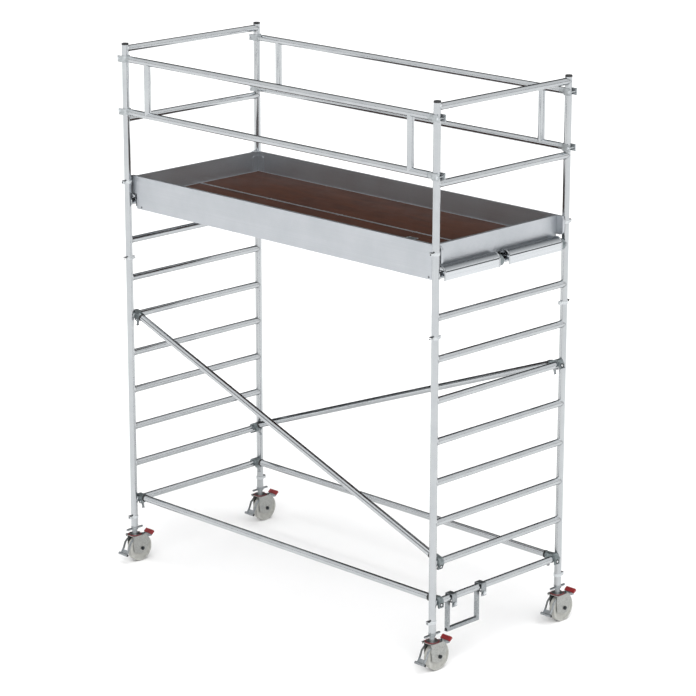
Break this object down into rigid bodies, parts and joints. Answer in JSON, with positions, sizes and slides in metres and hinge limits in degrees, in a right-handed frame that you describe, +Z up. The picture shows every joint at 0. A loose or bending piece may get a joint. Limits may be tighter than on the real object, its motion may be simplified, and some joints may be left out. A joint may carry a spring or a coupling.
{
  "type": "frame scaffold tower section",
  "caption": "Aluminium frame scaffold tower on braked castors, with rung frames, braces, a boarded deck with a trapdoor, toe boards and guardrails.",
  "frame": {"origin": "on the ground, under the middle of the four posts", "axes": "+X along the deck, +Y across the end frames, +Z up"},
  "size_m": [3.106, 1.5595, 3.866],
  "materials": {
    "satin_aluminium": "satin extruded tube",
    "toe_board_sheet": "satin light grey outside, dark grey inside",
    "black_plastic": "moulded",
    "clip_polymer": "moulded grey",
    "cast_alloy": "bead-blasted casting",
    "film_plywood": "phenolic film, mesh-printed",
    "zinc_steel": "bright zinc",
    "fork_steel": "light grey zinc",
    "wheel_polymer": "moulded light grey",
    "red_plastic": "moulded"
  },
  "bodies": {
    "tower": {"lower_frame_left": "satin_aluminium", "lower_frame_right": "satin_aluminium", "upper_frame_left": "satin_aluminium", "upper_frame_right": "satin_aluminium", "guard_frame_left": "satin_aluminium", "guard_frame_right": "satin_aluminium", "frame_spigots": "satin_aluminium", "base_braces": "satin_aluminium", "diagonal_braces": "satin_aluminium", "double_guardrail_front": "satin_aluminium", "double_guardrail_rear": "satin_aluminium", "platform_frame_front": "satin_aluminium", "platform_frame_rear": "satin_aluminium", "platform_hooks": "satin_aluminium", "toe_board_brackets": "satin_aluminium", "toe_boards_side": "toe_board_sheet", "toe_boards_end": "toe_board_sheet", "post_caps": "black_plastic", "locking_clips": "clip_polymer", "brace_claws": "cast_alloy", "guardrail_claws": "cast_alloy", "deck_panel_front": "film_plywood", "deck_panel_rear": "film_plywood", "deck_rivets": "zinc_steel", "step_bracket": "zinc_steel", "castor_stems": "zinc_steel"},
    "castor_front_left": {"castor_fork_front_left": "fork_steel", "castor_axle_front_left": "zinc_steel"},
    "wheel_front_left": {"castor_wheel_front_left": "wheel_polymer"},
    "brake_front_left": {"brake_pedal_front_left": "zinc_steel", "brake_lever_front_left": "red_plastic"},
    "castor_front_right": {"castor_fork_front_right": "fork_steel", "castor_axle_front_right": "zinc_steel"},
    "wheel_front_right": {"castor_wheel_front_right": "wheel_polymer"},
    "brake_front_right": {"brake_pedal_front_right": "zinc_steel", "brake_lever_front_right": "red_plastic"},
    "castor_rear_left": {"castor_fork_rear_left": "fork_steel", "castor_axle_rear_left": "zinc_steel"},
    "wheel_rear_left": {"castor_wheel_rear_left": "wheel_polymer"},
    "brake_rear_left": {"brake_pedal_rear_left": "zinc_steel", "brake_lever_rear_left": "red_plastic"},
    "castor_rear_right": {"castor_fork_rear_right": "fork_steel", "castor_axle_rear_right": "zinc_steel"},
    "wheel_rear_right": {"castor_wheel_rear_right": "wheel_polymer"},
    "brake_rear_right": {"brake_pedal_rear_right": "zinc_steel", "brake_lever_rear_right": "red_plastic"},
    "trapdoor_leaf": {"trapdoor": "film_plywood"},
    "trapdoor_turn_latch": {"trapdoor_latch": "zinc_steel"},
    "wind_lock_front_left_body": {"wind_lock_front_left": "cast_alloy"},
    "wind_lock_front_right_body": {"wind_lock_front_right": "cast_alloy"},
    "wind_lock_rear_left_body": {"wind_lock_rear_left": "cast_alloy"},
    "wind_lock_rear_right_body": {"wind_lock_rear_right": "cast_alloy"},
    "brace_latch_base_front_left_body": {"brace_latch_base_front_left": "zinc_steel"},
    "brace_latch_base_front_right_body": {"brace_latch_base_front_right": "zinc_steel"},
    "brace_latch_base_rear_left_body": {"brace_latch_base_rear_left": "zinc_steel"},
    "brace_latch_base_rear_right_body": {"brace_latch_base_rear_right": "zinc_steel"},
    "brace_latch_diagonal_front_left_body": {"brace_latch_diagonal_front_left": "zinc_steel"},
    "brace_latch_diagonal_front_right_body": {"brace_latch_diagonal_front_right": "zinc_steel"},
    "brace_latch_diagonal_rear_left_body": {"brace_latch_diagonal_rear_left": "zinc_steel"},
    "brace_latch_diagonal_rear_right_body": {"brace_latch_diagonal_rear_right": "zinc_steel"}
  },
  "joints": [
    {"name": "castor_swivel_front_left", "type": "hinge", "parent": "tower", "child": "castor_front_left", "pos_m": [-1.501, -0.637, 0.212], "axis": [0, 0, 1], "continuous": true},
    {"name": "wheel_spin_front_left", "type": "hinge", "parent": "castor_front_left", "child": "wheel_front_left", "pos_m": [-1.501, -0.594, 0.1], "axis": [1, 0, 0], "continuous": true},
    {"name": "brake_rocker_front_left", "type": "hinge", "parent": "castor_front_left", "child": "brake_front_left", "pos_m": [-1.501, -0.632, 0.184], "axis": [-1, 0, 0], "range_deg": [0, 6]},
    {"name": "castor_swivel_front_right", "type": "hinge", "parent": "tower", "child": "castor_front_right", "pos_m": [1.501, -0.637, 0.212], "axis": [0, 0, 1], "continuous": true},
    {"name": "wheel_spin_front_right", "type": "hinge", "parent": "castor_front_right", "child": "wheel_front_right", "pos_m": [1.501, -0.594, 0.1], "axis": [1, 0, 0], "continuous": true},
    {"name": "brake_rocker_front_right", "type": "hinge", "parent": "castor_front_right", "child": "brake_front_right", "pos_m": [1.501, -0.632, 0.184], "axis": [-1, 0, 0], "range_deg": [0, 6]},
    {"name": "castor_swivel_rear_left", "type": "hinge", "parent": "tower", "child": "castor_rear_left", "pos_m": [-1.501, 0.637, 0.212], "axis": [0, 0, 1], "continuous": true},
    {"name": "wheel_spin_rear_left", "type": "hinge", "parent": "castor_rear_left", "child": "wheel_rear_left", "pos_m": [-1.501, 0.68, 0.1], "axis": [1, 0, 0], "continuous": true},
    {"name": "brake_rocker_rear_left", "type": "hinge", "parent": "castor_rear_left", "child": "brake_rear_left", "pos_m": [-1.501, 0.642, 0.184], "axis": [-1, 0, 0], "range_deg": [0, 6]},
    {"name": "castor_swivel_rear_right", "type": "hinge", "parent": "tower", "child": "castor_rear_right", "pos_m": [1.501, 0.637, 0.212], "axis": [0, 0, 1], "continuous": true},
    {"name": "wheel_spin_rear_right", "type": "hinge", "parent": "castor_rear_right", "child": "wheel_rear_right", "pos_m": [1.501, 0.68, 0.1], "axis": [1, 0, 0], "continuous": true},
    {"name": "brake_rocker_rear_right", "type": "hinge", "parent": "castor_rear_right", "child": "brake_rear_right", "pos_m": [1.501, 0.642, 0.184], "axis": [-1, 0, 0], "range_deg": [0, 6]},
    {"name": "trapdoor_hinge", "type": "hinge", "parent": "tower", "child": "trapdoor_leaf", "pos_m": [1.072, -0.5555, 2.7753], "axis": [1, 0, 0], "range_deg": [0, 90]},
    {"name": "trapdoor_latch_turn", "type": "hinge", "parent": "trapdoor_leaf", "child": "trapdoor_turn_latch", "pos_m": [0.822, -0.14, 2.77], "axis": [0, 0, -1], "range_deg": [0, 90]},
    {"name": "wind_lock_front_left_turn", "type": "hinge", "parent": "tower", "child": "wind_lock_front_left_body", "pos_m": [-1.501, -0.042, 2.72], "axis": [0, 1, 0], "range_deg": [0, 60]},
    {"name": "wind_lock_front_right_turn", "type": "hinge", "parent": "tower", "child": "wind_lock_front_right_body", "pos_m": [1.501, -0.042, 2.72], "axis": [0, -1, 0], "range_deg": [0, 60]},
    {"name": "wind_lock_rear_left_turn", "type": "hinge", "parent": "tower", "child": "wind_lock_rear_left_body", "pos_m": [-1.501, 0.578, 2.72], "axis": [0, 1, 0], "range_deg": [0, 60]},
    {"name": "wind_lock_rear_right_turn", "type": "hinge", "parent": "tower", "child": "wind_lock_rear_right_body", "pos_m": [1.501, 0.578, 2.72], "axis": [0, -1, 0], "range_deg": [0, 60]},
    {"name": "brace_latch_base_front_left_pull", "type": "hinge", "parent": "tower", "child": "brace_latch_base_front_left_body", "pos_m": [-1.461, -0.588, 0.466], "axis": [0, -1, 0], "range_deg": [0, 40], "stiffness_Nm_per_rad": 0.1, "springref_deg": -20.05},
    {"name": "brace_latch_base_front_right_pull", "type": "hinge", "parent": "tower", "child": "brace_latch_base_front_right_body", "pos_m": [1.461, -0.588, 0.466], "axis": [0, 1, 0], "range_deg": [0, 40], "stiffness_Nm_per_rad": 0.1, "springref_deg": -20.05},
    {"name": "brace_latch_base_rear_left_pull", "type": "hinge", "parent": "tower", "child": "brace_latch_base_rear_left_body", "pos_m": [-1.461, 0.588, 0.466], "axis": [0, -1, 0], "range_deg": [0, 40], "stiffness_Nm_per_rad": 0.1, "springref_deg": -20.05},
    {"name": "brace_latch_base_rear_right_pull", "type": "hinge", "parent": "tower", "child": "brace_latch_base_rear_right_body", "pos_m": [1.461, 0.588, 0.466], "axis": [0, 1, 0], "range_deg": [0, 40], "stiffness_Nm_per_rad": 0.1, "springref_deg": -20.05},
    {"name": "brace_latch_diagonal_front_left_pull", "type": "hinge", "parent": "tower", "child": "brace_latch_diagonal_front_left_body", "pos_m": [-1.46842, -0.588, 1.8529], "axis": [0, -1, 0], "range_deg": [0, 40], "stiffness_Nm_per_rad": 0.1, "springref_deg": -20.05},
    {"name": "brace_latch_diagonal_front_right_pull", "type": "hinge", "parent": "tower", "child": "brace_latch_diagonal_front_right_body", "pos_m": [1.45863, -0.588, 0.76087], "axis": [0, 1, 0], "range_deg": [0, 40], "stiffness_Nm_per_rad": 0.1, "springref_deg": -20.05},
    {"name": "brace_latch_diagonal_rear_left_pull", "type": "hinge", "parent": "tower", "child": "brace_latch_diagonal_rear_left_body", "pos_m": [-1.45863, 0.588, 0.76087], "axis": [0, -1, 0], "range_deg": [0, 40], "stiffness_Nm_per_rad": 0.1, "springref_deg": -20.05},
    {"name": "brace_latch_diagonal_rear_right_pull", "type": "hinge", "parent": "tower", "child": "brace_latch_diagonal_rear_right_body", "pos_m": [1.46842, 0.588, 1.8529], "axis": [0, 1, 0], "range_deg": [0, 40], "stiffness_Nm_per_rad": 0.1, "springref_deg": -20.05}
  ]
}
